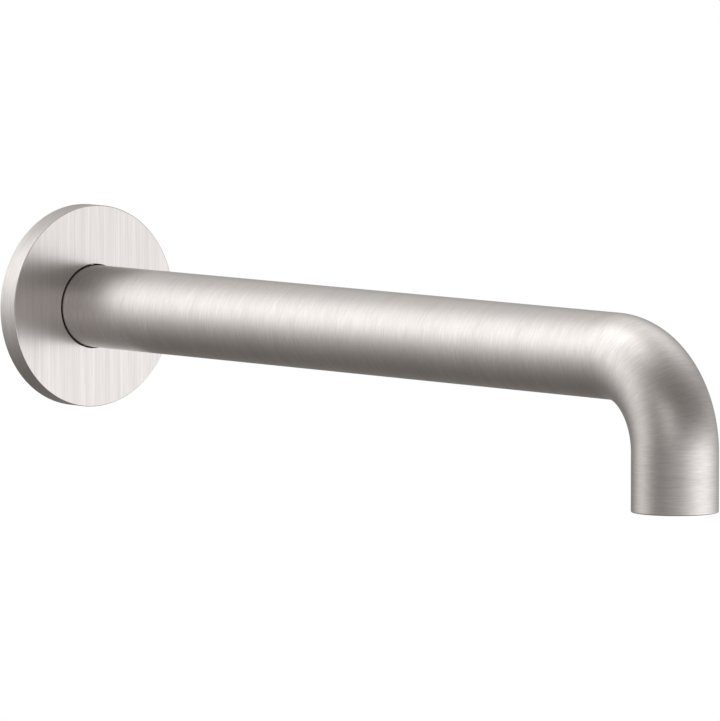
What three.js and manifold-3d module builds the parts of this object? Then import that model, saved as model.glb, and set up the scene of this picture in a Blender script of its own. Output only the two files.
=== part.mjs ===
// Wall mounted bath spout: a bent round tube that locks on a wall nipple with a set screw, a round wall
// flange that slides on the tube, and a recessed aerator in the outlet.
// Millimetres, +Z up. The origin is the centre of the wall flange's back, on the finished wall. The spout
// stands out of the wall along -Y, its outlet points down, and the nipple goes into the wall along +Y.
import * as THREE from "three";
import { mergeVertices } from "three/addons/utils/BufferGeometryUtils.js";
import Module from "manifold-3d";

const wasm = await Module();
wasm.setup();

// ---- driving dimensions ----
const TUBE_R = 12.5; // outside radius of the spout tube
const TUBE_WALL = 1.5;
const REACH = 275; // wall to the centre of the outlet
const DROP = 42.7; // tube's axis down to the outlet's rim
const BEND_R = 25.8; // centre line of the elbow
const FLANGE_R = 30.75;
const FLANGE_T = 7; // wall to the flange's front face
const FLANGE_GAP = 0.45; // all round, between the flange's bore and the tube
const SPIGOT_R = 8.5; // part of the nipple that the spout slides over
const SCREW_R = 2.5; // M5 set screw
const SCREW_LENGTH = 4;
const SCREW_Y = -12; // set screw's place along the tube, between the wall and the water seals
const THREAD_R = 10.4775; // G 1/2 outside thread
const THREAD_PITCH = 1.814;
const AERATOR_R = 9.6; // crest of the aerator's thread
const AERATOR_PITCH = 1;

// ---- fits ----
const BRAZE_GAP = 0.1; // between a brazed sleeve and the tube
const RUN_GAP = 0.15; // between pieces that slide or screw on one another
const SEAL_GAP = 0.05; // between an O-ring and what it seals
const STACK_GAP = 0.1; // between pieces that rest on one another

// ---- roundness, in facets a turn ----
const ROUND_LARGE = 60;
const ROUND = 48;
const ROUND_SMALL = 36;
const ROUND_TINY = 24;
const BEND_STEPS = 12;

// ---- worked out from the above ----
const BORE_R = TUBE_R - TUBE_WALL;
const TUBE_START_Y = -2.5;
const BEND_START_Y = -(REACH - BEND_R);
const SLEEVE_R = BORE_R - BRAZE_GAP;
const SOCKET_R = SPIGOT_R + RUN_GAP;

// ---- finishes ----
const nickel = { color: 0xc9c3bd, roughness: 0.32, metalness: 1 };
const brass = { color: 0xb89a55, roughness: 0.35, metalness: 1 };
const steel = { color: 0x9a9a9c, roughness: 0.3, metalness: 1 };
const rubber = { color: 0x1b1b1c, roughness: 0.8, metalness: 0 };
const foam = { color: 0xd8d8d6, roughness: 0.95, metalness: 0 };
const plastic = { color: 0xe4e3df, roughness: 0.5, metalness: 0 };
const fibre = { color: 0x7c2f22, roughness: 0.85, metalness: 0 };

// ---- joins and cuts ----
function toSolid(geometry) {
  const bare = geometry.clone();
  bare.deleteAttribute("normal");
  bare.deleteAttribute("uv");
  const merged = mergeVertices(bare, 1e-4);
  const mesh = new wasm.Mesh({
    numProp: 3,
    vertProperties: merged.attributes.position.array,
    triVerts: new Uint32Array(merged.index.array),
  });
  return new wasm.Manifold(mesh);
}

function toGeometry(solid) {
  const mesh = solid.getMesh();
  return new THREE.BufferGeometry()
    .setAttribute("position", new THREE.BufferAttribute(new Float32Array(mesh.vertProperties), 3))
    .setIndex(new THREE.BufferAttribute(new Uint32Array(mesh.triVerts), 1));
}

const cut = (body, tools) =>
  toGeometry(tools.map(toSolid).reduce((left, tool) => left.subtract(tool), toSolid(body)));

const join = (pieces) => toGeometry(pieces.map(toSolid).reduce((whole, piece) => whole.add(piece)));

// ---- shapes turned about the Y axis ----
// A solid from [radius, y] points in order round its section. A section that touches the axis starts and
// ends on it; any other is a ring, and closes on itself.
function turned(section, facets = ROUND) {
  const onAxis = section[0][0] === 0;
  const area = section.reduce((sum, [radius, y], i) => {
    const [nextRadius, nextY] = section[(i + 1) % section.length];
    return sum + radius * nextY - nextRadius * y;
  }, 0);
  const ordered = area > 0 ? section : [...section].reverse(); // anticlockwise, so that the faces point out
  const points = ordered.map(([radius, y]) => new THREE.Vector2(radius, y));
  if (!onAxis) points.push(points[0].clone());
  return new THREE.LatheGeometry(points, facets);
}

const ring = (inner, outer, y0, y1, facets = ROUND_SMALL) =>
  turned([[inner, y0], [outer, y0], [outer, y1], [inner, y1]], facets);

const disc = (radius, y0, y1, facets = ROUND_SMALL) =>
  new THREE.CylinderGeometry(radius, radius, y1 - y0, facets).translate(0, (y0 + y1) / 2, 0);

const hexPrism = (acrossFlats, y0, y1) => disc(acrossFlats / 2 / Math.cos(Math.PI / 6), y0, y1, 6);

// An O-ring whose section is pressed into an oval between two walls.
function oRing(inner, outer, y, width, facets = ROUND_SMALL) {
  const SECTION_POINTS = 8;
  const middle = (inner + outer) / 2;
  const section = [];
  for (let i = 0; i < SECTION_POINTS; i += 1) {
    const angle = (2 * Math.PI * i) / SECTION_POINTS;
    section.push([middle + ((outer - inner) / 2) * Math.cos(angle), y + (width / 2) * Math.sin(angle)]);
  }
  return turned(section, facets);
}

// The outside of a thread as a row of ridges, from y0 to the last whole pitch before y1.
function threadRidges(crest, root, y0, y1, pitch) {
  const count = Math.floor((y1 - y0) / pitch);
  const points = [];
  for (let i = 0; i < count; i += 1) {
    const y = y0 + i * pitch;
    points.push([root, y], [crest, y + pitch / 2]);
  }
  points.push([root, y0 + count * pitch]);
  return points;
}

// A copy of a tool at each of count equal angles about the Y axis.
const around = (count, tool, turn = 0) =>
  Array.from({ length: count }, (_, i) => tool().rotateY((2 * Math.PI * (i + turn)) / count));

// ---- spout ----
// The spout's centre line: straight out of the wall, round the elbow, down to the outlet. The sweep takes one
// step along each straight and BEND_STEPS in the elbow, so u counts steps and not length.
class SpoutPath extends THREE.Curve {
  elbowAngle(u) {
    const share = THREE.MathUtils.clamp((u * (BEND_STEPS + 2) - 1) / BEND_STEPS, 0, 1);
    return (share * Math.PI) / 2;
  }
  getPoint(u, target = new THREE.Vector3()) {
    const step = u * (BEND_STEPS + 2);
    const angle = this.elbowAngle(u);
    const down = Math.max(step - 1 - BEND_STEPS, 0) * (DROP - BEND_R);
    const straightY = THREE.MathUtils.lerp(TUBE_START_Y, BEND_START_Y, Math.min(step, 1));
    return target.set(0, straightY - BEND_R * Math.sin(angle), -BEND_R * (1 - Math.cos(angle)) - down);
  }
  getPointAt(u, target) {
    return this.getPoint(u, target);
  }
  getTangentAt(u, target = new THREE.Vector3()) {
    const angle = this.elbowAngle(u);
    return target.set(0, -Math.cos(angle), -Math.sin(angle));
  }
}

// The set screw's hole, from below the tube up to the nipple.
function screwHole() {
  const radius = SCREW_R + RUN_GAP;
  const top = -(SPIGOT_R - 1);
  const bottom = -(TUBE_R + 1);
  return disc(radius, bottom, top, ROUND_TINY).rotateX(Math.PI / 2).translate(0, SCREW_Y, 0);
}

function spoutTube() {
  const section = new THREE.Shape().absarc(0, 0, TUBE_R, 0, 2 * Math.PI);
  section.holes.push(new THREE.Path().absarc(0, 0, BORE_R, 0, 2 * Math.PI));
  const sweep = new THREE.ExtrudeGeometry(section, {
    steps: BEND_STEPS + 2,
    curveSegments: ROUND / 2,
    bevelEnabled: false,
    extrudePath: new SpoutPath(),
  });
  return cut(sweep, [screwHole()]);
}

// Brass sleeve brazed in the tube's wall end. It slides over the nipple and takes the set screw's thread.
function inletSocket() {
  const FRONT = -36;
  const STOP_T = 3; // of the lip in front of the nipple
  const STOP_R = 6.9;
  const CHAMFER = 0.8;
  const sleeve = turned([
    [SOCKET_R + CHAMFER, TUBE_START_Y],
    [SOCKET_R, TUBE_START_Y - CHAMFER],
    [SOCKET_R, FRONT + STOP_T],
    [STOP_R, FRONT + STOP_T],
    [STOP_R, FRONT],
    [SLEEVE_R - CHAMFER, FRONT],
    [SLEEVE_R, FRONT + CHAMFER],
    [SLEEVE_R, TUBE_START_Y],
  ]);
  return cut(sleeve, [screwHole()]);
}

// ---- wall nipple ----
const NIPPLE_Y = [-30, 20]; // front end in the spout, back end in the wall fitting
const NIPPLE_BORE_R = 5.6;
const SEAL_GROOVE_R = SPIGOT_R - 1.7;
const SEAL_GROOVE_WIDTH = 2.2;
const SEAL_Y = { front: -21.5, rear: -17.5 };
const LOCK_DEPTH = 1; // of the groove that the set screw's tip sits in
const COLLAR_R = 13;
const COLLAR_Y = [1.5, 3.5];
const WASHER_T = 1.5;

// A thread for the wall fitting, a collar for its washer, and a spigot with two seal grooves and a groove
// that the set screw locks in.
function connectionNipple() {
  const HEX_KEY = 12;
  const HEX_DEPTH = 6;
  const CHAMFER = 1;
  const LOCK_HALF_WIDTH = 2.8;
  const LOCK_SLOPE = 0.4;
  const THREAD_DEPTH = 1.16;
  const THREAD_RELIEF = 0.6;
  const sealGroove = (y) => [
    [SPIGOT_R, y - SEAL_GROOVE_WIDTH / 2],
    [SEAL_GROOVE_R, y - SEAL_GROOVE_WIDTH / 2],
    [SEAL_GROOVE_R, y + SEAL_GROOVE_WIDTH / 2],
    [SPIGOT_R, y + SEAL_GROOVE_WIDTH / 2],
  ];
  const lockGroove = [
    [SPIGOT_R, SCREW_Y - LOCK_HALF_WIDTH - LOCK_SLOPE],
    [SPIGOT_R - LOCK_DEPTH, SCREW_Y - LOCK_HALF_WIDTH],
    [SPIGOT_R - LOCK_DEPTH, SCREW_Y + LOCK_HALF_WIDTH],
    [SPIGOT_R, SCREW_Y + LOCK_HALF_WIDTH + LOCK_SLOPE],
  ];
  const root = THREAD_R - THREAD_DEPTH;
  const threadStart = COLLAR_Y[1] + WASHER_T + THREAD_RELIEF;
  const body = turned(
    [
      [NIPPLE_BORE_R, NIPPLE_Y[0]],
      [SPIGOT_R - CHAMFER, NIPPLE_Y[0]],
      [SPIGOT_R, NIPPLE_Y[0] + CHAMFER],
      ...sealGroove(SEAL_Y.front),
      ...sealGroove(SEAL_Y.rear),
      ...lockGroove,
      [SPIGOT_R, COLLAR_Y[0]],
      [COLLAR_R, COLLAR_Y[0]],
      [COLLAR_R, COLLAR_Y[1]],
      [root, COLLAR_Y[1]],
      ...threadRidges(THREAD_R, root, threadStart, NIPPLE_Y[1], THREAD_PITCH),
      [root - CHAMFER / 2, NIPPLE_Y[1]],
      [NIPPLE_BORE_R, NIPPLE_Y[1]],
    ],
    ROUND_SMALL,
  );
  return cut(body, [hexPrism(HEX_KEY, NIPPLE_Y[0] - 1, NIPPLE_Y[0] + HEX_DEPTH)]);
}

const nippleSealWasher = () =>
  ring(THREAD_R + RUN_GAP, COLLAR_R - 0.3, COLLAR_Y[1] + STACK_GAP, COLLAR_Y[1] + WASHER_T);

const nippleORing = (y) =>
  oRing(SEAL_GROOVE_R + SEAL_GAP, SOCKET_R - SEAL_GAP, y, SEAL_GROOVE_WIDTH - 2 * RUN_GAP);

// ---- wall flange ----
const FLANGE_BORE_R = TUBE_R + FLANGE_GAP;
const BOSS_R = 18;
const RIM_WALL = 3;
const RECESS_Y = -3.8;
const RING_GROOVE_R = 14.75;
const RING_GROOVE_Y = [-5, -2.4];
const GASKET_R = [BOSS_R + 2.5, FLANGE_R - RIM_WALL - 0.4];

// A turned cover, hollow behind, with a boss round the tube and a groove for the ring that grips it.
function wallFlange() {
  const EDGE = 0.3; // broken front edges
  const BOSS_Y = -0.6;
  return turned(
    [
      [FLANGE_BORE_R + EDGE, -FLANGE_T],
      [FLANGE_R - EDGE, -FLANGE_T],
      [FLANGE_R, -FLANGE_T + EDGE],
      [FLANGE_R, 0],
      [FLANGE_R - RIM_WALL, 0],
      [FLANGE_R - RIM_WALL, RECESS_Y],
      [BOSS_R, RECESS_Y],
      [BOSS_R, BOSS_Y],
      [FLANGE_BORE_R, BOSS_Y],
      [FLANGE_BORE_R, RING_GROOVE_Y[1]],
      [RING_GROOVE_R, RING_GROOVE_Y[1]],
      [RING_GROOVE_R, RING_GROOVE_Y[0]],
      [FLANGE_BORE_R, RING_GROOVE_Y[0]],
      [FLANGE_BORE_R, -FLANGE_T + EDGE],
    ],
    ROUND_LARGE,
  );
}

function flangeORing() {
  const middle = (RING_GROOVE_Y[0] + RING_GROOVE_Y[1]) / 2;
  const width = RING_GROOVE_Y[1] - RING_GROOVE_Y[0] - 2 * RUN_GAP;
  return oRing(TUBE_R + SEAL_GAP, RING_GROOVE_R - SEAL_GAP, middle, width, ROUND);
}

const flangeWallGasket = () => ring(GASKET_R[0], GASKET_R[1], RECESS_Y + STACK_GAP, 0, ROUND);

// ---- set screw: below the tube, its tip on the floor of the nipple's locking groove ----
function setScrew() {
  const CORE_R = SCREW_R - 0.4;
  const PITCH = 0.8;
  const THREAD_START = 0.2;
  const TIP_LENGTH = 0.5;
  const TIP_R = 1.5;
  const HEX_KEY = 2.5;
  const HEX_DEPTH = 2;
  const head = -(SPIGOT_R - LOCK_DEPTH) - STACK_GAP - SCREW_LENGTH;
  const body = turned(
    [
      [0, 0],
      [CORE_R, 0],
      ...threadRidges(SCREW_R, CORE_R, THREAD_START, SCREW_LENGTH - TIP_LENGTH, PITCH),
      [TIP_R, SCREW_LENGTH],
      [0, SCREW_LENGTH],
    ],
    ROUND_TINY,
  );
  const socketed = cut(body, [hexPrism(HEX_KEY, -1, HEX_DEPTH)]);
  return socketed.rotateX(Math.PI / 2).translate(0, SCREW_Y, head);
}

// ---- outlet ----
// Pieces of the outlet are turned about Y with y as the height, and this stands them on the outlet's axis.
const atOutlet = (geometry) => geometry.rotateX(Math.PI / 2).translate(0, -REACH, 0);

const BUSH_Z = [-41.9, -28];
const SHOULDER_Z = -32.6; // the seal washer is pressed against this
const SHOULDER_R = 8;
const SEAL_T = 1.5;
const SHELL_Z = [-41.2, SHOULDER_Z - SEAL_T - 2 * STACK_GAP];
const SHELL_BORE_R = 8.2;
const LIP_R = 7.5;
const LIP_T = 0.9;
const INSERT_R = SHELL_BORE_R - STACK_GAP;

// The stack in the shell, from its lip up.
const SCREEN_T = 1.1;
const MIXING_T = 1.3;
const JET_T = 1.2;
const LOWER_SCREEN_Z = SHELL_Z[0] + LIP_T + STACK_GAP;
const UPPER_SCREEN_Z = LOWER_SCREEN_Z + SCREEN_T + STACK_GAP;
const MIXING_Z = UPPER_SCREEN_Z + SCREEN_T + STACK_GAP;
const JET_Z = MIXING_Z + MIXING_T + STACK_GAP;
const STRAINER_Z = JET_Z + JET_T + STACK_GAP;

// Brass sleeve brazed in the outlet: thread for the aerator below, shoulder for its washer above.
function outletBush() {
  const CHAMFER = 0.8;
  const bore = AERATOR_R + RUN_GAP;
  return atOutlet(
    turned([
      [bore, BUSH_Z[0]],
      [SLEEVE_R, BUSH_Z[0]],
      [SLEEVE_R, BUSH_Z[1]],
      [SHOULDER_R + CHAMFER, BUSH_Z[1]],
      [SHOULDER_R, BUSH_Z[1] - CHAMFER],
      [SHOULDER_R, SHOULDER_Z],
      [bore, SHOULDER_Z],
    ]),
  );
}

// Threaded shell with a lip below that holds the stack and notches for the fitting key.
function aeratorShell() {
  const NOTCHES = 6;
  const NOTCH = { depth: 1, height: 0.7, width: 1.5 };
  const THREAD_DEPTH = 0.55;
  const RUN_IN = { lower: 0.4, upper: 0.2 }; // plain ends of the thread
  const root = AERATOR_R - THREAD_DEPTH;
  const body = turned(
    [
      [LIP_R, SHELL_Z[0]],
      [root, SHELL_Z[0]],
      ...threadRidges(AERATOR_R, root, SHELL_Z[0] + RUN_IN.lower, SHELL_Z[1] - RUN_IN.upper, AERATOR_PITCH),
      [root, SHELL_Z[1]],
      [SHELL_BORE_R, SHELL_Z[1]],
      [SHELL_BORE_R, SHELL_Z[0] + LIP_T],
      [LIP_R, SHELL_Z[0] + LIP_T],
    ],
    ROUND_SMALL,
  );
  const notch = () =>
    new THREE.BoxGeometry(2 * NOTCH.depth, 2 * NOTCH.height, NOTCH.width).translate(AERATOR_R, SHELL_Z[0], 0);
  return atOutlet(cut(body, around(NOTCHES, notch)));
}

function aeratorSealWasher() {
  const top = SHOULDER_Z - STACK_GAP;
  return atOutlet(ring(SHOULDER_R - 0.3, AERATOR_R - STACK_GAP, top - SEAL_T, top));
}

// A thin disc with a honeycomb of holes, cell apart.
function screen(z, cell) {
  const WEB = 0.45;
  const reach = INSERT_R - cell * 0.7;
  const rows = Math.ceil(reach / cell) + 1;
  const holes = [];
  for (let row = -rows; row <= rows; row += 1) {
    for (let column = -rows; column <= rows; column += 1) {
      const x = (column + (Math.abs(row) % 2) / 2) * cell;
      const y = row * cell * Math.sin(Math.PI / 3);
      if (Math.hypot(x, y) > reach) continue;
      holes.push(hexPrism(cell - WEB, z - 1, z + SCREEN_T + 1).translate(x, 0, y));
    }
  }
  return atOutlet(cut(disc(INSERT_R, z, z + SCREEN_T), holes));
}

// Keeps the jet plate off the screens and lets air in between them.
function mixingRing() {
  const AIR_SLOTS = 12;
  const WALL = 1.2;
  const SLOT = { depth: 0.4, width: 1 };
  const top = MIXING_Z + MIXING_T;
  const body = ring(INSERT_R - WALL, INSERT_R, MIXING_Z, top);
  const slot = () => new THREE.BoxGeometry(3 * WALL, 2 * SLOT.depth, SLOT.width).translate(INSERT_R, top, 0);
  return atOutlet(cut(body, around(AIR_SLOTS, slot, 0.5)));
}

function jetPlate() {
  const JETS = 16;
  const JET_R = 0.55;
  const CIRCLE_R = 6.1;
  const jet = () => disc(JET_R, JET_Z - 1, JET_Z + JET_T + 1, 6).translate(CIRCLE_R, 0, 0);
  return atOutlet(cut(disc(INSERT_R, JET_Z, JET_Z + JET_T), around(JETS, jet)));
}

// A domed sieve with a flat brim, which keeps grit out of the jets.
function strainer() {
  const WALL = 0.6;
  const BRIM_R = SHOULDER_R - 0.4;
  const DOME_R = 6;
  const DOME_HEIGHT = 3.2;
  const STEPS = 4;
  const HOLES = 12;
  const HOLE_R = 0.6;
  const HOLE_HEIGHT = 1.7;
  const dome = (radius, height, floor) => {
    const section = [[0, floor], [radius, floor]];
    for (let i = 1; i < STEPS; i += 1) {
      const angle = ((Math.PI / 2) * i) / STEPS;
      section.push([radius * Math.cos(angle), STRAINER_Z + height * Math.sin(angle)]);
    }
    section.push([0, STRAINER_Z + height]);
    return turned(section, ROUND_TINY);
  };
  const brim = disc(BRIM_R, STRAINER_Z, STRAINER_Z + WALL, ROUND_TINY);
  const outside = dome(DOME_R, DOME_HEIGHT, STRAINER_Z);
  const inside = dome(DOME_R - WALL, DOME_HEIGHT - WALL, STRAINER_Z - 1);
  const hole = () =>
    disc(HOLE_R, 1, DOME_R + 1, 6).rotateZ(-Math.PI / 2).translate(0, STRAINER_Z + HOLE_HEIGHT, 0);
  return atOutlet(cut(join([brim, outside]), [inside, ...around(HOLES, hole)]));
}

// ---- assembly ----
function piece(name, geometry, finish) {
  const mesh = new THREE.Mesh(geometry, new THREE.MeshStandardMaterial(finish));
  mesh.name = name;
  return mesh;
}

function group(...members) {
  const made = new THREE.Group();
  made.add(...members);
  return made;
}

const wallConnection = group(
  piece("connection_nipple", connectionNipple(), brass),
  piece("nipple_seal_washer", nippleSealWasher(), fibre),
  piece("nipple_o_ring_front", nippleORing(SEAL_Y.front), rubber),
  piece("nipple_o_ring_rear", nippleORing(SEAL_Y.rear), rubber),
);

const spout = group(
  piece("spout_tube", spoutTube(), nickel),
  piece("inlet_socket", inletSocket(), brass),
  piece("outlet_bush", outletBush(), brass),
  piece("set_screw", setScrew(), steel),
);

const flange = group(
  piece("wall_flange", wallFlange(), nickel),
  piece("flange_o_ring", flangeORing(), rubber),
  piece("flange_wall_gasket", flangeWallGasket(), foam),
);

const aerator = group(
  piece("aerator_seal_washer", aeratorSealWasher(), rubber),
  piece("aerator_shell", aeratorShell(), nickel),
  piece("aerator_strainer", strainer(), plastic),
  piece("aerator_jet_plate", jetPlate(), plastic),
  piece("aerator_mixing_ring", mixingRing(), plastic),
  piece("aerator_upper_screen", screen(UPPER_SCREEN_Z, 3), plastic),
  piece("aerator_lower_screen", screen(LOWER_SCREEN_Z, 2.4), plastic),
);

export default group(wallConnection, spout, flange, aerator);
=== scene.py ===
import math

import bmesh
import bpy
import numpy as np
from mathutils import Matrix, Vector


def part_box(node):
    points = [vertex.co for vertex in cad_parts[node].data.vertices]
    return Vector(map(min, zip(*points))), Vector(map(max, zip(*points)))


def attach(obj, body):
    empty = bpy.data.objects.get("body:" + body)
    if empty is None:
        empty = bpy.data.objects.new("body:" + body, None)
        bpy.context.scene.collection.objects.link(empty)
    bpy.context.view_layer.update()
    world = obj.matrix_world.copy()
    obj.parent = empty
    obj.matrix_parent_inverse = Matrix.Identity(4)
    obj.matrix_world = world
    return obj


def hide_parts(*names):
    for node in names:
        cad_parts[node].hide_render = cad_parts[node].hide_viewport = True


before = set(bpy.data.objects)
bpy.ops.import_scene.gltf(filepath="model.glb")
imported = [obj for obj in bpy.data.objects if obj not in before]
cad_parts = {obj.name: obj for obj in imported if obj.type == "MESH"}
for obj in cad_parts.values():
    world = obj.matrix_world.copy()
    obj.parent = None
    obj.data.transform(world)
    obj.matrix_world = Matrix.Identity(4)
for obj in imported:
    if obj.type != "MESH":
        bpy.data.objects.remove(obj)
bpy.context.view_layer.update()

# Wall mounted bath spout in brushed nickel. Lengths are in millimetres until a mesh is placed in the frame.
MM = 0.001


def low(node):
    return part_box(node)[0] / MM


def high(node):
    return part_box(node)[1] / MM


# ---- sizes from the frame ----
TUBE_R = high("spout_tube").x
REACH = -low("spout_tube").y - TUBE_R
DROP = -low("spout_tube").z
TUBE_BACK = high("spout_tube").y
FLANGE_R = high("wall_flange").x
FLANGE_FRONT = low("wall_flange").y
NIPPLE_FRONT = low("connection_nipple").y
NIPPLE_BACK = high("connection_nipple").y
COLLAR_R = high("connection_nipple").x
SOCKET_FRONT = low("inlet_socket").y
SLEEVE_R = high("outlet_bush").x
SCREW_AT = (low("set_screw") + high("set_screw")) / 2
SCREW_R = high("set_screw").x
SHELL_R = high("aerator_shell").x
INSERT_R = high("aerator_jet_plate").x

# ---- gaps ----
FLANGE_GAP = 0.35  # all round, between the flange's bore and the tube
RUN_GAP = 0.15  # between pieces that move past one another
THREAD_GAP = 0.2  # between the aerator's crests and the bush's roots
STACK_GAP = 0.1  # between pieces that rest on one another
SEAL_GAP = 0.05  # between an O-ring and what it seals

# ---- sizes that a node's box can't give ----
BEND_R = 25.8  # the elbow's centre line
BORE_R = 11.0
SPIGOT_R = 8.5  # the part of the nipple that the spout slides over
SOCKET_R = SPIGOT_R + RUN_GAP
HOLE_R = SCREW_R + RUN_GAP  # the set screw's hole
NIPPLE_BORE_R = 5.6
NIPPLE_KEY = 12.0  # across the flats of the hexagon for the fitting key
NIPPLE_KEY_DEPTH = 6.0
SCREW_KEY = 2.5
SCREW_KEY_DEPTH = 2.0
SEAL_GROOVE_R = 6.8
G_THREAD_R = 10.4775
G_THREAD_DEPTH = 1.16
G_THREAD_PITCH = 1.814
SHELL_THREAD_DEPTH = 0.55
SHELL_PITCH = 1.0
SCREW_THREAD_DEPTH = 0.4
SCREW_PITCH = 0.8

# ---- fineness ----
TURN = 192  # columns round a large turned piece
TURN_SMALL = 96
BEND_STEPS = 96
CORNER_STEPS = 4
SUPPORT = 1.5  # a row this many fillets from a corner keeps the flat beside the fillet looking flat
THREAD_STEPS = 12  # points along one pitch
HOLE_SIDES = 64
SEAL_SIDES = 28  # points round an O-ring's section
SHARP = math.radians(32)  # edges sharper than this aren't shaded smooth
PAST = 2.0  # how far a cutter runs past the face that it opens

# ---- brushing on flat faces, as shares of the tube's: longer marks, and a little wider ----
FLAT_STROKE = 0.12
FLAT_SPREAD = 0.9


# ---- sections ----
def rounded(corners, closed=True):
    """Section points from (radius, y) or (radius, y, fillet) corners. A fillet becomes a short curve."""
    points = []
    count = len(corners)
    for i, corner in enumerate(corners):
        fillet = corner[2] if len(corner) > 2 else 0
        at = Vector(corner[:2])
        if not fillet or (not closed and i in (0, count - 1)):
            points.append(tuple(at))
            continue
        before = (Vector(corners[i - 1][:2]) - at).normalized() * fillet
        after = (Vector(corners[(i + 1) % count][:2]) - at).normalized() * fillet
        points.append(tuple(at + before * SUPPORT))
        for step in range(CORNER_STEPS + 1):
            t = step / CORNER_STEPS
            points.append(tuple(at + before * (1 - t) ** 2 + after * t**2))
        points.append(tuple(at + after * SUPPORT))
    return points


class Thread:
    """A stretch of section that is a right-handed helical thread, fading out at both ends."""

    def __init__(self, crest, root, start, end, pitch):
        self.crest, self.root, self.start, self.end, self.pitch = crest, root, start, end, pitch

    def rows(self, turn):
        span = abs(self.end - self.start)
        forward = 1 if self.end > self.start else -1
        first = min(self.start, self.end)
        steps = (math.ceil(span / self.pitch) + 1) * THREAD_STEPS
        for step in range(steps + 1)[::forward]:
            along = (step / THREAD_STEPS + turn - 1) * self.pitch
            ramp = 1 - abs(2 * (step / THREAD_STEPS % 1) - 1)
            tooth = np.clip(1.16 * ramp - 0.08, 0, 1)  # a flat crest and a flat root
            inside = np.clip(along, 0, span)
            fade = np.clip(np.minimum(inside, span - inside) / (0.6 * self.pitch), 0, 1)
            yield self.root + (self.crest - self.root) * tooth * fade, first + inside


# ---- places: from a turned piece's own axis to the frame ----
def on_spout_axis(points):
    return points


def at_outlet(points):
    x, y, z = points.T
    return np.stack([x, -REACH - z, y], axis=1)


def at_screw(points):
    x, y, z = points.T
    return np.stack([x + SCREW_AT.x, SCREW_AT.y - z, y + SCREW_AT.z], axis=1)


def along_spout(points):
    """Bends a straight tube that runs along -Y so that it follows the spout: straight, elbow and leg."""
    x, y, z = points.T
    start = -(REACH - BEND_R)
    past = np.clip(start - y, 0, None)
    elbow = BEND_R * math.pi / 2
    angle = np.minimum(past, elbow) / BEND_R
    down = np.clip(past - elbow, 0, None)
    arm = BEND_R + z
    bent_y = np.maximum(y, start) - arm * np.sin(angle)
    bent_z = -BEND_R + arm * np.cos(angle) - down
    return np.stack([x, bent_y, bent_z], axis=1)


SPOUT_LENGTH = REACH - BEND_R + BEND_R * math.pi / 2 + DROP - BEND_R  # from the wall to the outlet's rim


# ---- turned pieces ----
def turned(name, section, columns=TURN, place=on_spout_axis, closed=True, straight_grain=False):
    """A piece turned about Y. The section runs round a ring, or from axis to axis when it isn't closed.
    "grain" holds each corner's place along the brushing, with its third part running across the grain, and
    "brush" is a UV map whose U runs across the grain."""
    turn = np.linspace(0, 1, columns + 1)
    rows = []
    for part in section:
        if isinstance(part, Thread):
            rows.extend(part.rows(turn))
        else:
            rows.append((np.full(columns + 1, part[0]), np.full(columns + 1, part[1])))
    if closed:
        rows.append(rows[0])
    radius = np.array([row[0] for row in rows])
    y = np.array([row[1] for row in rows])
    steps = np.hypot(np.diff(radius[:, 0]), np.diff(y[:, 0]))
    across = np.concatenate([[0], np.cumsum(steps)])
    angle = 2 * math.pi * turn
    straight = np.stack([radius * np.sin(angle), y, radius * np.cos(angle)], axis=2)
    count = len(rows)
    placed = place(straight.reshape(-1, 3)) * MM

    mesh = bmesh.new()
    verts = [mesh.verts.new(p) for p in placed]
    grain_layer = mesh.loops.layers.float_vector.new("grain")
    brush_layer = mesh.loops.layers.uv.new("brush")
    for i in range(count - 1):
        for j in range(columns):
            corners = [(i, j), (i, j + 1), (i + 1, j + 1), (i + 1, j)]
            face = mesh.faces.new([verts[a * (columns + 1) + b] for a, b in corners])
            flat = straight_grain and abs(y[i, j] - y[i + 1, j]) < 1e-6
            for loop, (a, b) in zip(face.loops, corners):
                x_at, _, z_at = straight[a, b]
                if flat:
                    loop[grain_layer] = (z_at * FLAT_STROKE, 0, x_at * FLAT_SPREAD)
                    loop[brush_layer].uv = (x_at, z_at)
                else:
                    loop[grain_layer] = (x_at, z_at, across[a])
                    loop[brush_layer].uv = (across[a], turn[b] * 2 * math.pi * TUBE_R)
    bmesh.ops.remove_doubles(mesh, verts=mesh.verts, dist=1e-3 * MM)
    bmesh.ops.dissolve_degenerate(mesh, edges=mesh.edges, dist=1e-4 * MM)
    bmesh.ops.recalc_face_normals(mesh, faces=mesh.faces)
    return finished(name, mesh)


def finished(name, mesh):
    data = bpy.data.meshes.new(name)
    mesh.to_mesh(data)
    mesh.free()
    return shaded(bpy.data.objects.new(name, data))


def shaded(piece):
    bpy.context.scene.collection.objects.link(piece)
    piece.data.shade_smooth()
    piece.data.set_sharp_from_angle(angle=SHARP)
    return piece


def prism(sides, radius, y0, y1, tip=0.0):
    """A cutter along Y, with a cone of the given height at its far end."""
    mesh = bmesh.new()
    rings = []
    for y in (y0, y1):
        angles = [2 * math.pi * k / sides for k in range(sides)]
        rings.append([mesh.verts.new((radius * math.sin(a), y, radius * math.cos(a))) for a in angles])
    point = mesh.verts.new((0, y1 + tip, 0))
    mesh.faces.new(rings[0])
    for k in range(sides):
        after = (k + 1) % sides
        mesh.faces.new([rings[0][k], rings[0][after], rings[1][after], rings[1][k]])
        mesh.faces.new([rings[1][k], rings[1][after], point])
    return mesh


def key_socket(across_flats, y0, y1, tip):
    """A hexagon socket, with the cone that the drill left at its bottom."""
    return prism(6, across_flats / 2 / math.cos(math.pi / 6), y0, y1, tip)


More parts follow.
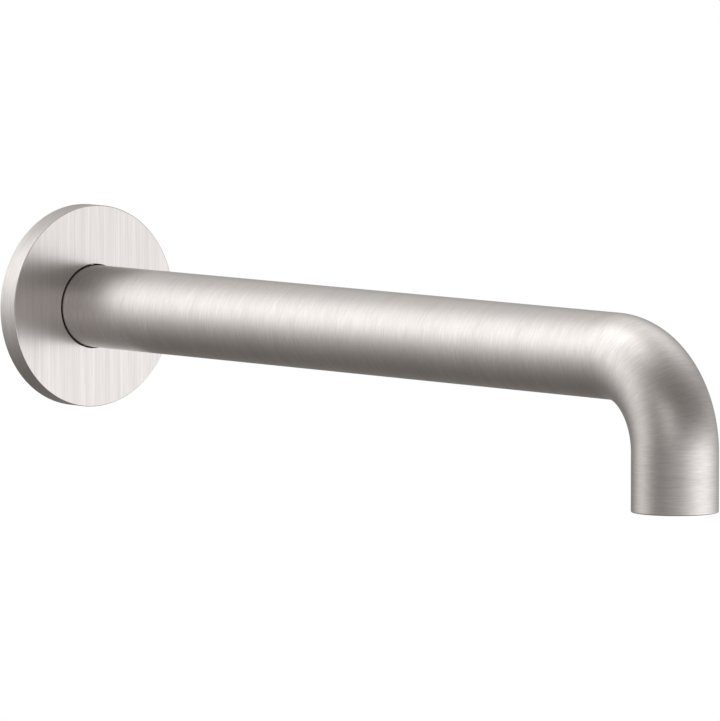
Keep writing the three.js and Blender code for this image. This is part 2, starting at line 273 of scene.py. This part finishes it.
def cut(piece, cutters, place=on_spout_axis):
    """Cuts bmesh tools, in millimetres about Y, out of a piece."""
    joined = bpy.data.meshes.new("cutters")
    whole = bmesh.new()
    for cutter in cutters:
        part = bpy.data.meshes.new("cutter")
        bmesh.ops.recalc_face_normals(cutter, faces=cutter.faces)
        cutter.to_mesh(part)
        cutter.free()
        whole.from_mesh(part)
        bpy.data.meshes.remove(part)
    points = place(np.array([v.co for v in whole.verts])) * MM
    for vert, point in zip(whole.verts, points):
        vert.co = point
    bmesh.ops.recalc_face_normals(whole, faces=whole.faces)
    whole.to_mesh(joined)
    whole.free()
    tool = bpy.data.objects.new("cutters", joined)
    bpy.context.scene.collection.objects.link(tool)
    modifier = piece.modifiers.new("cut", "BOOLEAN")
    modifier.operation = "DIFFERENCE"
    modifier.solver = "EXACT"
    modifier.object = tool
    graph = bpy.context.evaluated_depsgraph_get()
    result = bpy.data.meshes.new_from_object(piece.evaluated_get(graph))
    piece.modifiers.clear()
    old = piece.data
    piece.data = result
    result.name = piece.name
    bpy.data.meshes.remove(old)
    bpy.data.objects.remove(tool)
    bpy.data.meshes.remove(joined)
    piece.data.set_sharp_from_angle(angle=SHARP)
    return piece


def around(count, tool, turn=0.0):
    """count copies of a cutter, turned about Y."""
    made = []
    for k in range(count):
        mesh = tool()
        angle = 2 * math.pi * (k + turn) / count
        c, s = math.cos(angle), math.sin(angle)
        for vert in mesh.verts:
            x, y, z = vert.co
            vert.co = (c * x + s * z, y, c * z - s * x)
        made.append(mesh)
    return made


def block(x, y, z, size):
    """A box cutter centred at x, y, z."""
    mesh = bmesh.new()
    bmesh.ops.create_cube(mesh, size=1)
    for vert in mesh.verts:
        vert.co = (x + vert.co.x * size[0], y + vert.co.y * size[1], z + vert.co.z * size[2])
    return mesh


def o_ring(name, inner, outer, y, width, columns=TURN):
    """A ring whose section is an oval, as a pressed O-ring's is."""
    middle, half = (inner + outer) / 2, (outer - inner) / 2
    angles = np.linspace(0, 2 * math.pi, SEAL_SIDES, endpoint=False)
    section = [(middle + half * math.cos(a), y + width / 2 * math.sin(a)) for a in angles]
    return turned(name, section, columns)


def pierced_disc(name, radius, z0, z1, holes, bevel=0.05):
    """A flat disc at the outlet with holes, each a list of (x, y) corners, and softened edges."""
    curve = bpy.data.curves.new(name, "CURVE")
    curve.dimensions = "2D"
    curve.fill_mode = "BOTH"
    curve.extrude = ((z1 - z0) / 2 - bevel) * MM
    curve.bevel_depth = bevel * MM
    curve.bevel_resolution = 1
    edge = [(math.cos(a), math.sin(a)) for a in np.linspace(0, 2 * math.pi, TURN_SMALL, endpoint=False)]
    outlines = [[((radius - bevel) * x, (radius - bevel) * y) for x, y in edge], *holes]
    for outline in outlines:
        spline = curve.splines.new("POLY")
        spline.points.add(len(outline) - 1)
        for point, (x, y) in zip(spline.points, outline):
            point.co = (x * MM, y * MM, 0, 1)
        spline.use_cyclic_u = True
    drawn = bpy.data.objects.new(name, curve)
    bpy.context.scene.collection.objects.link(drawn)
    graph = bpy.context.evaluated_depsgraph_get()
    data = bpy.data.meshes.new_from_object(drawn.evaluated_get(graph))
    bpy.data.objects.remove(drawn)
    bpy.data.curves.remove(curve)
    mesh = bmesh.new()
    mesh.from_mesh(data)
    bpy.data.meshes.remove(data)
    bmesh.ops.remove_doubles(mesh, verts=mesh.verts, dist=1e-4 * MM)
    bmesh.ops.recalc_face_normals(mesh, faces=mesh.faces)
    bmesh.ops.translate(mesh, verts=mesh.verts, vec=Vector((0, -REACH, (z0 + z1) / 2)) * MM)
    return finished(name, mesh)


def polygon(x, y, radius, sides, start=0.0):
    angles = [start + 2 * math.pi * k / sides for k in range(sides)]
    return [(x + radius * math.cos(a), y + radius * math.sin(a)) for a in angles]


def honeycomb(cell, web, reach):
    """Hexagonal holes, cell apart, that lie within reach of the centre."""
    holes = []
    rows = math.ceil(reach / cell) + 1
    hole_radius = (cell - web) / 2 / math.cos(math.pi / 6)
    for row in range(-rows, rows + 1):
        for column in range(-rows, rows + 1):
            x = (column + (row % 2) / 2) * cell
            y = row * cell * math.sin(math.pi / 3)
            if math.hypot(x, y) <= reach:
                holes.append(polygon(x, y, hole_radius, 6, math.pi / 6))
    return holes


# ---- material nodes ----
class Nodes:
    """A short way to write a node tree: each call makes one node and returns it."""

    def __init__(self, tree):
        self.tree = tree
        tree.nodes.clear()

    def add(self, kind, inputs=None, **settings):
        node = self.tree.nodes.new(kind)
        for key, value in settings.items():
            setattr(node, key, value)
        for key, value in (inputs or {}).items():
            socket = node.inputs[key]
            if isinstance(value, bpy.types.NodeSocket):
                self.tree.links.new(value, socket)
            else:
                socket.default_value = value
        return node

    def noise(self, vector, scale, detail=2.0, roughness=0.5):
        inputs = {"Vector": vector, "Scale": scale, "Detail": detail, "Roughness": roughness}
        return self.add("ShaderNodeTexNoise", inputs, noise_dimensions="3D").outputs["Fac"]

    def stretched(self, vector, stretch):
        return self.add("ShaderNodeMapping", {"Vector": vector, "Scale": stretch}).outputs["Vector"]

    def remap(self, value, from_low, from_high, to_low, to_high):
        inputs = {0: value, 1: from_low, 2: from_high, 3: to_low, 4: to_high}
        return self.add("ShaderNodeMapRange", inputs).outputs["Result"]

    def math(self, operation, a, b=0.0):
        return self.add("ShaderNodeMath", {0: a, 1: b}, operation=operation).outputs[0]

    def blend(self, factor, a, b):
        mix = self.add("ShaderNodeMix", {"Factor": factor, "A": a, "B": b}, data_type="RGBA")
        return mix.outputs["Result"]


def tint(colour, share):
    return (*(min(1.0, part * share) for part in colour), 1)


def new_material(name):
    material = bpy.data.materials.new(name)
    material.use_nodes = True
    return material, Nodes(material.node_tree)


def output(nodes, shader):
    nodes.add("ShaderNodeOutputMaterial", {"Surface": shader.outputs[0]})


NICKEL = (0.80, 0.765, 0.742)
FLANGE_NICKEL = (0.766, 0.734, 0.718)  # plated apart from the tube, and a touch pinker and darker
BRASS = (0.76, 0.58, 0.27)
STEEL = (0.50, 0.50, 0.51)


def brushed_nickel(name, metal, contrast):
    """Satin nickel brushed along the grain: bristle marks, stray hairs that cross them, and wide bands."""
    material, nodes = new_material(name)
    grain = nodes.add("ShaderNodeAttribute", attribute_name="grain").outputs["Vector"]
    slant = nodes.add("ShaderNodeMapping", {"Vector": grain, "Rotation": (0.06, -0.05, 0)}).outputs["Vector"]
    marks = nodes.noise(nodes.stretched(grain, (0.26, 0.26, 7.0)), 1.0, 2.0, 0.6)
    lines = nodes.noise(nodes.stretched(grain, (0.16, 0.16, 2.4)), 1.0, 3.0, 0.7)
    bands = nodes.noise(nodes.stretched(grain, (0.04, 0.04, 0.35)), 1.0, 2.0, 0.5)
    hairs = nodes.noise(nodes.stretched(slant, (0.34, 0.34, 2.8)), 1.0, 2.0, 0.6)
    bright_hairs = nodes.remap(hairs, 0.58, 0.70, 0.0, 1.0)
    dark_hairs = nodes.remap(hairs, 0.42, 0.30, 0.0, 1.0)
    streak = nodes.math("ADD", nodes.math("MULTIPLY", marks, 0.25), nodes.math("MULTIPLY", lines, 0.55))
    streak = nodes.math("ADD", streak, nodes.math("MULTIPLY", bands, 0.2))
    shade = nodes.remap(streak, 0.36, 0.64, 0.0, 1.0)
    colour = nodes.blend(shade, tint(metal, 0.99 - contrast), tint(metal, 0.99 + contrast))
    colour = nodes.blend(nodes.math("MULTIPLY", bright_hairs, 0.22), colour, tint(metal, 1.16))
    colour = nodes.blend(nodes.math("MULTIPLY", dark_hairs, 0.35), colour, tint(metal, 0.80))
    roughness = nodes.remap(streak, 0.3, 0.7, 0.33, 0.26)
    height = nodes.math("ADD", streak, nodes.math("MULTIPLY", hairs, 0.25))
    bump = nodes.add("ShaderNodeBump", {"Strength": 0.35, "Distance": 3e-5, "Height": height})
    tangent = nodes.add("ShaderNodeTangent", direction_type="UV_MAP", uv_map="brush")
    shader = nodes.add("ShaderNodeBsdfPrincipled", {
        "Base Color": colour,
        "Metallic": 1.0,
        "Roughness": roughness,
        "Anisotropic": 0.3,
        "Tangent": tangent.outputs["Tangent"],
        "Normal": bump.outputs["Normal"],
    })
    output(nodes, shader)
    return material


def machined(name, metal, roughness, marks, tarnish):
    """Turned metal: fine lathe marks round the axis, and a faint uneven tarnish."""
    material, nodes = new_material(name)
    grain = nodes.add("ShaderNodeAttribute", attribute_name="grain").outputs["Vector"]
    place = nodes.add("ShaderNodeTexCoord").outputs["Object"]
    rings = nodes.noise(nodes.stretched(grain, (0.03, 0.03, marks)), 1.0, 2.0, 0.6)
    cloud = nodes.noise(place, 220.0, 3.0, 0.6)
    colour = nodes.blend(nodes.remap(rings, 0.3, 0.7, 0, 1), tint(metal, 0.9), tint(metal, 1.06))
    stain = nodes.remap(cloud, 0.45, 0.75, 0.0, tarnish)
    colour = nodes.blend(stain, colour, tint(metal, 0.62))
    rough = nodes.math("ADD", nodes.remap(rings, 0.3, 0.7, roughness - 0.04, roughness + 0.06), stain)
    bump = nodes.add("ShaderNodeBump", {"Strength": 0.5, "Distance": 1.5e-5, "Height": rings})
    shader = nodes.add("ShaderNodeBsdfPrincipled", {
        "Base Color": colour,
        "Metallic": 1.0,
        "Roughness": rough,
        "Normal": bump.outputs["Normal"],
    })
    output(nodes, shader)
    return material


def moulded(name, colour, roughness, speck_scale, speck, depth):
    """Rubber, fibre and plastic: a mottled colour and a fine moulded skin."""
    material, nodes = new_material(name)
    place = nodes.add("ShaderNodeTexCoord").outputs["Object"]
    mottle = nodes.noise(place, speck_scale, 3.0, 0.6)
    skin = nodes.noise(place, speck_scale * 6, 2.0, 0.5)
    patches = nodes.remap(mottle, 0.35, 0.65, 0, 1)
    base = nodes.blend(patches, tint(colour, 1 - speck), tint(colour, 1 + speck))
    rough = nodes.remap(skin, 0.35, 0.65, roughness - 0.06, roughness + 0.06)
    bump = nodes.add("ShaderNodeBump", {"Strength": 0.4, "Distance": depth, "Height": skin})
    shader = nodes.add("ShaderNodeBsdfPrincipled", {
        "Base Color": base,
        "Roughness": rough,
        "Normal": bump.outputs["Normal"],
    })
    output(nodes, shader)
    return material


def foam_material():
    """Closed-cell foam: pale, with small open cells on its skin, whose pits are darkened with painted shade.
    """
    material, nodes = new_material("foam")
    place = nodes.add("ShaderNodeTexCoord").outputs["Object"]
    cells = nodes.add("ShaderNodeTexVoronoi", {"Vector": place, "Scale": 1600.0}).outputs["Distance"]
    painted_pit_shade = nodes.remap(cells, 0.15, 0.6, 1.0, 0.0)
    cloud = nodes.noise(place, 150.0, 3.0, 0.6)
    base = nodes.blend(nodes.remap(cloud, 0.3, 0.7, 0, 1), (0.62, 0.62, 0.60, 1), (0.78, 0.78, 0.76, 1))
    # painted shade: the base colour is darkened in the pits of the open cells
    base = nodes.blend(nodes.math("MULTIPLY", painted_pit_shade, 0.35), base, (0.36, 0.36, 0.35, 1))
    bump = nodes.add("ShaderNodeBump", {"Strength": 0.7, "Distance": 1.2e-4, "Height": cells})
    shader = nodes.add("ShaderNodeBsdfPrincipled", {
        "Base Color": base,
        "Roughness": 0.9,
        "Normal": bump.outputs["Normal"],
    })
    output(nodes, shader)
    return material


MATERIALS = {
    "brushed_nickel": brushed_nickel("brushed_nickel", NICKEL, 0.10),
    "flange_nickel": brushed_nickel("flange_nickel", FLANGE_NICKEL, 0.11),
    "brass": machined("brass", BRASS, 0.27, 5.0, 0.2),
    "steel": machined("steel", STEEL, 0.24, 6.0, 0.08),
    "rubber": moulded("rubber", (0.022, 0.022, 0.024), 0.55, 500.0, 0.2, 1e-5),
    "fibre": moulded("fibre", (0.30, 0.075, 0.045), 0.75, 900.0, 0.25, 4e-5),
    "plastic": moulded("plastic", (0.80, 0.79, 0.75), 0.38, 300.0, 0.03, 6e-6),
    "foam": foam_material(),
}


def put(piece, node, body, slot, finish=None):
    """Gives a finished piece its finish and its body, and hides the CAD node that it stands for."""
    piece.data.materials.clear()
    piece.data.materials.append(MATERIALS[finish or slot])
    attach(piece, body)
    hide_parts(node)
    return piece


# ---- spout tube ----
def spout_tube():
    end = -SPOUT_LENGTH
    bend_start = -(REACH - BEND_R)
    elbow = BEND_R * math.pi / 2
    past_screw = SCREW_AT.y - 4 * SCREW_R
    stations = [TUBE_BACK, SCREW_AT.y + 2 * SCREW_R, past_screw, past_screw - TUBE_R]
    stations += [bend_start - elbow * i / BEND_STEPS for i in range(BEND_STEPS + 1)]
    stations.append(end)
    section = [(TUBE_R, TUBE_BACK, 0.3)]
    section += [(TUBE_R, y) for y in stations[1:-1]]
    section += [(TUBE_R, end, 0.35), (BORE_R, end, 0.2)]
    section += [(BORE_R, y) for y in reversed(stations[1:-1])]
    section.append((BORE_R, TUBE_BACK, 0.3))
    return turned("tube", rounded(section), place=along_spout)


def drill_for_screw(piece, up_to):
    """The set screw's hole, from below the tube up to a height."""

    def upright(points):
        x, y, z = points.T
        return np.stack([x, SCREW_AT.y - z, y], axis=1)

    return cut(piece, [prism(HOLE_SIDES, HOLE_R, -TUBE_R - PAST, up_to)], upright)


put(drill_for_screw(spout_tube(), -SPIGOT_R), "spout_tube", "spout", "brushed_nickel")


# ---- wall flange ----
FLANGE_BORE_R = TUBE_R + FLANGE_GAP
BOSS_R = 18.0
BOSS_BACK = -0.6
RIM_INNER_R = FLANGE_R - 3.0
RECESS_Y = -3.8
GASKET_INNER_R = BOSS_R + 2.5
RING_GROOVE_R = 14.75
RING_GROOVE_Y = (-5.0, -2.4)


def wall_flange():
    groove_front, groove_back = RING_GROOVE_Y
    section = rounded([
        (FLANGE_BORE_R, FLANGE_FRONT, 0.1),
        (FLANGE_R, FLANGE_FRONT, 0.22),
        (FLANGE_R, 0, 0.15),
        (RIM_INNER_R, 0, 0.15),
        (RIM_INNER_R, RECESS_Y, 0.3),
        (BOSS_R, RECESS_Y, 0.3),
        (BOSS_R, BOSS_BACK, 0.2),
        (FLANGE_BORE_R, BOSS_BACK, 0.2),
        (FLANGE_BORE_R, groove_back, 0.12),
        (RING_GROOVE_R, groove_back, 0.3),
        (RING_GROOVE_R, groove_front, 0.3),
        (FLANGE_BORE_R, groove_front, 0.12),
    ])
    return turned("flange_plate", section, straight_grain=True)


put(wall_flange(), "wall_flange", "flange", "brushed_nickel", finish="flange_nickel")


def flange_o_ring():
    front, back = RING_GROOVE_Y
    return o_ring("flange_grip_ring", TUBE_R + SEAL_GAP, RING_GROOVE_R - SEAL_GAP, (front + back) / 2,
                  back - front - 2 * RUN_GAP)


put(flange_o_ring(), "flange_o_ring", "flange_ring", "rubber")


def wall_gasket():
    outer = high("flange_wall_gasket").x
    front = RECESS_Y + STACK_GAP
    return turned("wall_gasket", rounded([
        (outer, front, 0.3),
        (outer, 0, 0.5),
        (GASKET_INNER_R, 0, 0.5),
        (GASKET_INNER_R, front, 0.3),
    ]))


put(wall_gasket(), "flange_wall_gasket", "flange", "foam")


# ---- wall connection ----
COLLAR_FRONT, COLLAR_BACK = 1.5, 3.5
SEAL_YS = (-21.5, -17.5)
SEAL_WIDTH = 2.2
LOCK_DEPTH = 1.0
LOCK_WIDTH = 5.6  # of the locking groove's floor


def seal_groove(y):
    half = SEAL_WIDTH / 2
    return [
        (SPIGOT_R, y - half, 0.12),
        (SEAL_GROOVE_R, y - half, 0.2),
        (SEAL_GROOVE_R, y + half, 0.2),
        (SPIGOT_R, y + half, 0.12),
    ]


def lock_groove():
    """The groove with sloping sides that the set screw's point enters."""
    floor_r = SPIGOT_R - LOCK_DEPTH
    half = LOCK_WIDTH / 2
    slope = 0.4
    return [
        (SPIGOT_R, SCREW_AT.y - half - slope, 0.2),
        (floor_r, SCREW_AT.y - half, 0.2),
        (floor_r, SCREW_AT.y + half, 0.2),
        (SPIGOT_R, SCREW_AT.y + half + slope, 0.2),
    ]


def connection_nipple():
    root = G_THREAD_R - G_THREAD_DEPTH
    start = COLLAR_BACK + 2.1
    end = NIPPLE_BACK - 0.8
    front = rounded([
        (NIPPLE_BORE_R, NIPPLE_FRONT, 0.2),
        (SPIGOT_R - 1, NIPPLE_FRONT, 0.3),
        (SPIGOT_R, NIPPLE_FRONT + 1.4, 0.4),
        *seal_groove(SEAL_YS[0]),
        *seal_groove(SEAL_YS[1]),
        *lock_groove(),
        (SPIGOT_R, COLLAR_FRONT, 0.3),
        (COLLAR_R, COLLAR_FRONT, 0.3),
        (COLLAR_R, COLLAR_BACK, 0.3),
        (root, COLLAR_BACK, 0.3),
        (root, start),
    ], closed=False)
    back = rounded([
        (root, end),
        (root - 0.6, NIPPLE_BACK, 0.15),
        (NIPPLE_BORE_R, NIPPLE_BACK, 0.4),
        (NIPPLE_BORE_R, NIPPLE_FRONT + 1),
    ], closed=False)
    thread = Thread(G_THREAD_R, root, start, end, G_THREAD_PITCH)
    nipple = turned("wall_nipple", [*front, thread, *back])
    socket = key_socket(NIPPLE_KEY, NIPPLE_FRONT - PAST, NIPPLE_FRONT + NIPPLE_KEY_DEPTH, tip=2.4)
    return cut(nipple, [socket])


put(connection_nipple(), "connection_nipple", "spout", "brass")


def nipple_washer():
    inner = G_THREAD_R + RUN_GAP
    outer = high("nipple_seal_washer").x
    back = high("nipple_seal_washer").y
    front = COLLAR_BACK + STACK_GAP
    return turned("nipple_washer", rounded([
        (inner, front, 0.15), (outer, front, 0.15), (outer, back, 0.15), (inner, back, 0.15),
    ]))


put(nipple_washer(), "nipple_seal_washer", "spout", "fibre")

for end, seal_y in zip(("front", "rear"), SEAL_YS):
    seal = o_ring("spigot_seal_" + end, SEAL_GROOVE_R + SEAL_GAP, SOCKET_R - SEAL_GAP, seal_y,
                  SEAL_WIDTH - 2 * RUN_GAP)
    put(seal, "nipple_o_ring_" + end, "spout", "rubber")


def inlet_socket():
    lip_r = 6.9
    lip_back = SOCKET_FRONT + 3
    chamfer = 0.8
    sleeve = turned("brazed_socket", rounded([
        (SOCKET_R + chamfer, TUBE_BACK, 0.15),
        (SOCKET_R, TUBE_BACK - chamfer, 0.3),
        (SOCKET_R, lip_back, 0.3),
        (lip_r, lip_back, 0.2),
        (lip_r, SOCKET_FRONT, 0.2),
        (SLEEVE_R - chamfer, SOCKET_FRONT, 0.1),
        (SLEEVE_R, SOCKET_FRONT + chamfer, 0.2),
        (SLEEVE_R, TUBE_BACK, 0.15),
    ]))
    return drill_for_screw(sleeve, 1 - SPIGOT_R)


put(inlet_socket(), "inlet_socket", "spout", "brass")


# ---- set screw ----
def set_screw():
    """Its key socket is below, and the ring of its cup point above."""
    core = SCREW_R - SCREW_THREAD_DEPTH
    half = (high("set_screw").z - low("set_screw").z) / 2
    start, end = -half + 0.15, half - 0.45
    cup_depth = 0.25
    section = [
        (0, -half),
        (core - 0.1, -half),
        (core, start),
        Thread(SCREW_R, core, start, end, SCREW_PITCH),
        (1.5, half),
        (1.1, half),
        (0.9, half - cup_depth),
        (0, half - cup_depth),
    ]
    screw = turned("grub_screw", section, columns=TURN_SMALL, place=at_screw, closed=False)
    return cut(screw, [key_socket(SCREW_KEY, -half - PAST, -half + SCREW_KEY_DEPTH, tip=0.5)], at_screw)


put(set_screw(), "set_screw", "set_screw", "steel")


# ---- outlet ----
BUSH_LOW, BUSH_HIGH = low("outlet_bush").z, high("outlet_bush").z
SHELL_LOW, SHELL_HIGH = low("aerator_shell").z, high("aerator_shell").z
SHOULDER_Z = high("aerator_seal_washer").z + STACK_GAP
SHOULDER_R = 8.0
SHELL_BORE_R = 8.2
LIP_R = 7.5
LIP_TOP = SHELL_LOW + 0.9
BUSH_CREST_R = SHELL_R - 0.3
NOTCHES = 6
SHELL_THREAD_START = SHELL_LOW + 0.4


def outlet_bush():
    bore = SHELL_R + THREAD_GAP
    start = SHELL_THREAD_START - SHELL_PITCH / 2
    end = SHELL_HIGH + 0.3
    below = rounded([
        (SLEEVE_R, BUSH_HIGH, 0.2),
        (SHOULDER_R + 0.8, BUSH_HIGH, 0.1),
        (SHOULDER_R, BUSH_HIGH - 0.8, 0.2),
        (SHOULDER_R, SHOULDER_Z, 0.1),
        (bore, SHOULDER_Z, 0.1),
        (bore, end),
    ], closed=False)
    above = rounded([
        (bore, start),
        (bore + 0.35, BUSH_LOW, 0.1),
        (SLEEVE_R, BUSH_LOW, 0.15),
        (SLEEVE_R, BUSH_HIGH - 1),
    ], closed=False)
    thread = Thread(BUSH_CREST_R, bore, end, start, SHELL_PITCH)
    return turned("threaded_bush", [*below, thread, *above], place=at_outlet)


put(outlet_bush(), "outlet_bush", "spout", "brass")


def aerator_shell():
    root = SHELL_R - SHELL_THREAD_DEPTH
    end = SHELL_HIGH - 0.3
    inside = rounded([
        (root, end),
        (root - 0.1, SHELL_HIGH, 0.1),
        (SHELL_BORE_R, SHELL_HIGH, 0.1),
        (SHELL_BORE_R, LIP_TOP, 0.1),
        (LIP_R, LIP_TOP, 0.15),
        (LIP_R, SHELL_LOW, 0.25),
        (root - 0.1, SHELL_LOW, 0.15),
        (root, SHELL_THREAD_START),
    ], closed=False)
    thread = Thread(SHELL_R, root, SHELL_THREAD_START, end, SHELL_PITCH)
    shell = turned("aerator_housing", [thread, *inside], place=at_outlet)
    notch = (2.0, 1.4, 1.5)
    return cut(shell, around(NOTCHES, lambda: block(SHELL_R, SHELL_LOW, 0, notch)), at_outlet)


put(aerator_shell(), "aerator_shell", "aerator", "brushed_nickel")


def aerator_washer():
    outer = BUSH_CREST_R - SEAL_GAP  # it has to come out past the bush's thread
    inner = SHOULDER_R - 0.3
    bottom, top = low("aerator_seal_washer").z, high("aerator_seal_washer").z
    return turned("aerator_washer", rounded([
        (inner, bottom, 0.25), (outer, bottom, 0.25), (outer, top, 0.25), (inner, top, 0.25),
    ]), place=at_outlet)


put(aerator_washer(), "aerator_seal_washer", "aerator_seal", "rubber")


def stack_z(node):
    return low(node).z, high(node).z


def screen(name, node, cell, web):
    z0, z1 = stack_z(node)
    holes = honeycomb(cell, web, INSERT_R - 0.75 * cell)
    return put(pierced_disc(name, INSERT_R, z0, z1, holes), node, "aerator", "plastic")


screen("honeycomb_outlet", "aerator_lower_screen", 1.15, 0.3)
screen("honeycomb_inner", "aerator_upper_screen", 1.5, 0.35)


JET_R = 0.42
JET_SIDES = 20
JET_RINGS = ((24, 6.4), (16, 4.6))  # how many jets, and their ring's radius


def jet_plate():
    jets = []
    for count, ring_r in JET_RINGS:
        for k in range(count):
            angle = 2 * math.pi * k / count
            jets.append(polygon(ring_r * math.cos(angle), ring_r * math.sin(angle), JET_R, JET_SIDES))
    return pierced_disc("jet_plate", INSERT_R, *stack_z("aerator_jet_plate"), jets)


put(jet_plate(), "aerator_jet_plate", "aerator", "plastic")


def mixing_ring():
    z0, z1 = stack_z("aerator_mixing_ring")
    wall = 1.2
    slot = (3 * wall, 0.8, 1.0)
    ring = turned("air_ring", rounded([
        (INSERT_R - wall, z0, 0.1), (INSERT_R, z0, 0.1), (INSERT_R, z1, 0.1), (INSERT_R - wall, z1, 0.1),
    ]), place=at_outlet)
    return cut(ring, around(12, lambda: block(INSERT_R, z1, 0, slot), 0.5), at_outlet)


put(mixing_ring(), "aerator_mixing_ring", "aerator", "plastic")


DOME_R = 6.0
DOME_WALL = 0.5
SIEVE_HOLE_R = 0.38
SIEVE_ROWS = ((20, 0.32), (16, 0.62), (12, 0.92), (6, 1.22))  # how many holes, and their angle above the brim


def strainer():
    z0, z1 = stack_z("aerator_strainer")
    brim_r = high("aerator_strainer").x
    dome_r, wall = DOME_R, DOME_WALL
    height = z1 - z0
    steps = 16
    quarter = [math.pi / 2 * k / steps for k in range(steps + 1)]
    outside = [(dome_r * math.cos(a), z0 + wall + (height - wall) * math.sin(a)) for a in quarter]
    inside = [((dome_r - wall) * math.cos(a), z0 + (height - wall) * math.sin(a)) for a in reversed(quarter)]
    brim = [(dome_r - wall, z0), (brim_r - 0.1, z0), (brim_r, z0 + 0.1), (brim_r, z0 + wall - 0.1),
            (brim_r - 0.1, z0 + wall)]
    dome = turned("sieve", [*inside, *brim[1:], *outside], columns=TURN_SMALL, place=at_outlet, closed=False)
    holes = []
    for row, (count, tilt) in enumerate(SIEVE_ROWS):
        holes += around(count, lambda t=tilt: tilted_hole(t, z0, height), turn=row % 2 / 2)
    return cut(dome, holes, at_outlet)


def tilted_hole(tilt, z0, height):
    """A small round cutter that leaves the dome's centre at an angle above its brim."""
    mesh = prism(12, SIEVE_HOLE_R, 1.2, DOME_R + PAST)
    for vert in mesh.verts:
        x, y, z = vert.co
        out = y * math.cos(tilt) - x * math.sin(tilt)
        up = x * math.cos(tilt) + y * math.sin(tilt)
        vert.co = (out, z0 + up * height / DOME_R, z)
    return mesh


put(strainer(), "aerator_strainer", "aerator", "plastic")


def toward(azimuth, elevation):
    """The direction at an angle round from +Y to +X, and an angle up."""
    level = math.cos(elevation)
    return Vector((math.sin(azimuth) * level, math.cos(azimuth) * level, math.sin(elevation)))


# ---- camera at the photograph's viewing angle ----
AIM = Vector((-2.0, -REACH / 2 + 0.7, -8.3)) * MM
DISTANCE = 2.846  # metres
AZIMUTH = math.radians(39.43)  # 0 looks along +Y, square on to the wall
ELEVATION = math.radians(4.73)
LENS_MM = 482.8

camera_data = bpy.data.cameras.new("camera")
camera_data.lens = LENS_MM
camera_data.sensor_width = 36
camera_data.clip_end = 100
camera = bpy.data.objects.new("camera", camera_data)
camera.location = AIM - toward(AZIMUTH, -ELEVATION) * DISTANCE
camera.rotation_euler = (math.pi / 2 - ELEVATION, 0, -AZIMUTH)
bpy.context.scene.collection.objects.link(camera)
bpy.context.scene.camera = camera


# ---- studio ----
class Glow:
    """A soft light: its direction in degrees, how fast it fades round its middle, how much flatter it is than
    round, its level, which is below nought for a dark card, and its colour."""

    def __init__(self, azimuth, elevation, fade, flatness, level, colour=(1, 1, 1)):
        self.middle = toward(math.radians(azimuth), math.radians(elevation))
        self.fade, self.flatness = fade, flatness
        self.colour = [part * level for part in colour]


PINK = (1.006, 0.998, 1.022)  # a faint tint in the light that the flange mirrors
GLOWS = (
    Glow(-42, 24, fade=7, flatness=0, level=1.09),  # behind the left, along the tube
    Glow(-30, -12, fade=10, flatness=0, level=0.08),  # its spill, lower down
    Glow(144, -10, fade=2.2, flatness=10, level=1.18, colour=PINK),  # a wide, low one in front on the right
    Glow(60, 53, fade=5.8, flatness=0, level=0.74),  # high on the right
    Glow(-42, 64, fade=11, flatness=0, level=1.09),  # overhead
    Glow(-126, 19, fade=11, flatness=13, level=0.42),  # a thin strip in front on the left
    Glow(-105, 45, fade=9, flatness=0, level=-0.1),  # a dark card high on the left
    Glow(0, -55, fade=4, flatness=0, level=-0.05),  # a dark card below, behind
)
AMBIENT = (0.190, 0.180, 0.170)


def studio_world():
    """The glows and a little light all round, and plain white where the camera sees past the spout."""
    world = bpy.data.worlds.new("studio")
    bpy.context.scene.world = world
    world.use_nodes = True
    nodes = Nodes(world.node_tree)
    direction = nodes.add("ShaderNodeTexCoord").outputs["Generated"]
    height = nodes.add("ShaderNodeSeparateXYZ", {"Vector": direction}).outputs["Z"]
    light = AMBIENT
    for glow in GLOWS:
        facing = nodes.add("ShaderNodeVectorMath", {0: direction, 1: glow.middle}, operation="DOT_PRODUCT")
        fall = nodes.math("MULTIPLY", nodes.math("SUBTRACT", 1.0, facing.outputs["Value"]), glow.fade)
        rise = nodes.math("SUBTRACT", height, glow.middle.z)
        flatten = nodes.math("MULTIPLY", nodes.math("MULTIPLY", rise, rise), glow.flatness)
        fall = nodes.math("ADD", fall, flatten)
        share = nodes.math("POWER", math.exp(-1), fall)
        added = {0: share, 1: glow.colour, 2: light}
        light = nodes.add("ShaderNodeVectorMath", added, operation="MULTIPLY_ADD").outputs["Vector"]
    seen = nodes.add("ShaderNodeLightPath").outputs["Is Camera Ray"]
    colour = nodes.blend(seen, light, (1, 1, 1, 1))
    background = nodes.add("ShaderNodeBackground", {"Color": colour, "Strength": 1.0})
    nodes.add("ShaderNodeOutputWorld", {"Surface": background.outputs[0]})


studio_world()


# ---- floor, in metres ----
FLOOR_DROP = 0.6  # below the spout's axis
FLOOR_R = 40


def floor():
    """A plain pale floor well below the spout, seen only from above."""
    mesh = bmesh.new()
    bmesh.ops.create_circle(mesh, cap_ends=True, segments=64, radius=FLOOR_R)
    bmesh.ops.translate(mesh, verts=mesh.verts, vec=(0, 0, -FLOOR_DROP))
    data = bpy.data.meshes.new("floor")
    mesh.to_mesh(data)
    mesh.free()
    piece = bpy.data.objects.new("floor", data)
    bpy.context.scene.collection.objects.link(piece)
    material, nodes = new_material("floor")
    pale = nodes.add("ShaderNodeEmission", {"Color": (1, 1, 1, 1), "Strength": 1.0})
    clear = nodes.add("ShaderNodeBsdfTransparent")
    behind = nodes.add("ShaderNodeNewGeometry").outputs["Backfacing"]
    shader = nodes.add("ShaderNodeMixShader", {0: behind, 1: pale.outputs[0], 2: clear.outputs[0]})
    output(nodes, shader)
    data.materials.append(material)
    piece.visible_glossy = False
    piece.visible_diffuse = False


floor()

view = bpy.context.scene.view_settings
view.view_transform = "Standard"
view.look = "None"
